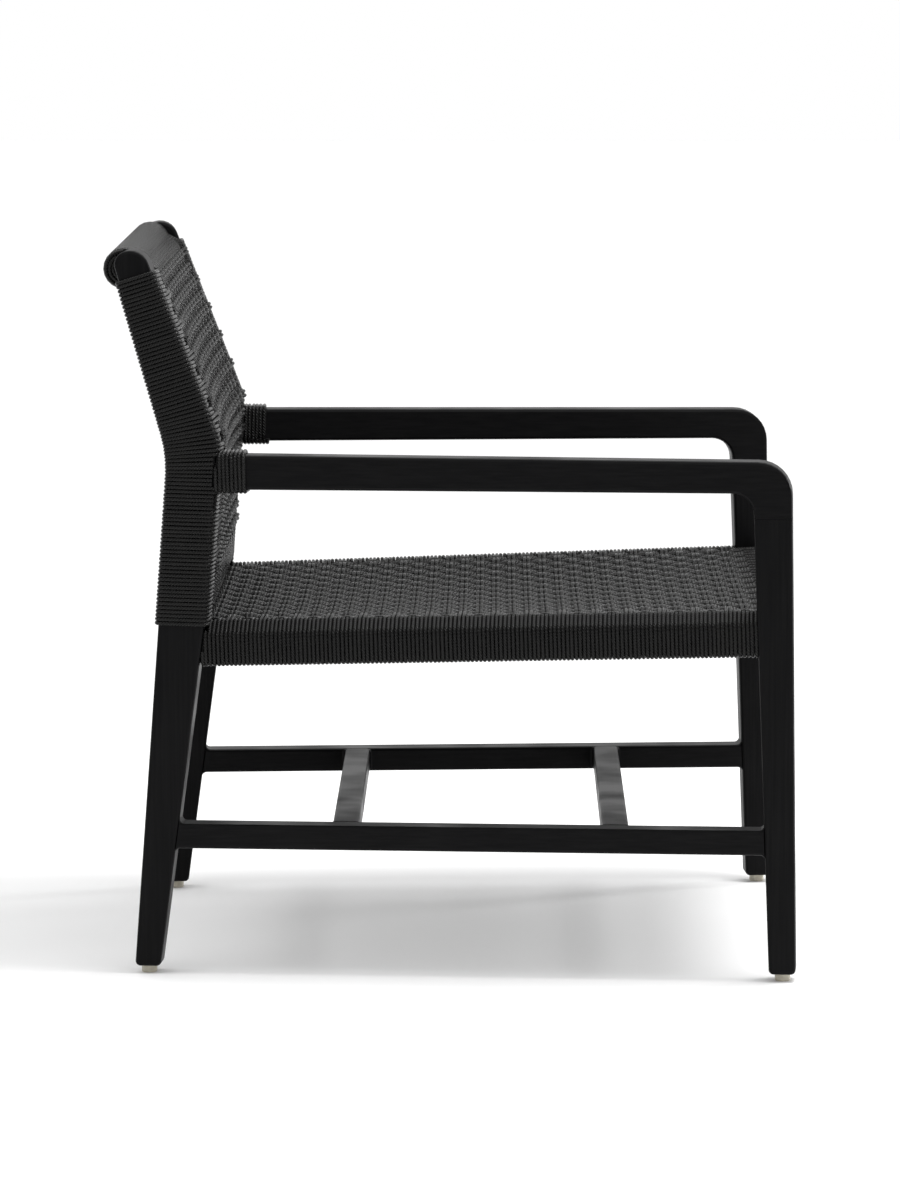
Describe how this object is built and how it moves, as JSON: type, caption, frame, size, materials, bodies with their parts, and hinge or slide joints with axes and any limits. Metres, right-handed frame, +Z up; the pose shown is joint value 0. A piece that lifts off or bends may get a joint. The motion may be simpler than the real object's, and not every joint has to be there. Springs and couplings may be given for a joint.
{
  "type": "wooden armchair",
  "caption": "Low black wooden armchair with open sides, a stretcher base, and a seat and back of woven cord.",
  "frame": {"origin": "on the floor, at the middle of the chair's width and depth", "axes": "+Z up, the front of the chair towards -Y, the sitter's right at -X"},
  "size_m": [0.6614, 0.7106, 0.7459],
  "materials": {
    "black_wood": "hardwood stained and lacquered satin black, with a fine open grain and softly rounded edges",
    "black_cord": "twisted cord about 4 mm thick in charcoal black, matt with a slight sheen on the crowns",
    "glide_nylon": "moulded nylon, off-white and slightly translucent, satin",
    "nail_steel": "bright wire nail",
    "dowel_wood": "plain hardwood dowel, unfinished, inside the joint"
  },
  "bodies": {
    "root": {"right_rear_post": "black_wood", "right_front_leg": "black_wood", "right_arm": "black_wood", "right_side_stretcher": "black_wood", "right_seat_rail": "black_wood", "left_rear_post": "black_wood", "left_front_leg": "black_wood", "left_arm": "black_wood", "left_side_stretcher": "black_wood", "left_seat_rail": "black_wood", "rear_cross_stretcher": "black_wood", "front_cross_stretcher": "black_wood", "rear_seat_rail": "black_wood", "front_seat_rail": "black_wood", "crest_rail": "black_wood", "lower_back_rail": "black_wood", "right_post_cord": "black_cord", "right_seat_rail_cord": "black_cord", "right_arm_binding": "black_cord", "left_post_cord": "black_cord", "left_seat_rail_cord": "black_cord", "left_arm_binding": "black_cord", "rear_seat_rail_cord": "black_cord", "front_seat_rail_cord": "black_cord", "crest_cord": "black_cord", "lower_back_cord": "black_cord", "seat_weave": "black_cord", "back_weave": "black_cord", "right_rear_glide": "glide_nylon", "right_front_glide": "glide_nylon", "left_rear_glide": "glide_nylon", "left_front_glide": "glide_nylon", "right_rear_glide_nail": "nail_steel", "right_front_glide_nail": "nail_steel", "left_rear_glide_nail": "nail_steel", "left_front_glide_nail": "nail_steel", "right_arm_dowel_1": "dowel_wood", "right_arm_dowel_2": "dowel_wood", "left_arm_dowel_1": "dowel_wood", "left_arm_dowel_2": "dowel_wood"}
  },
  "joints": []
}
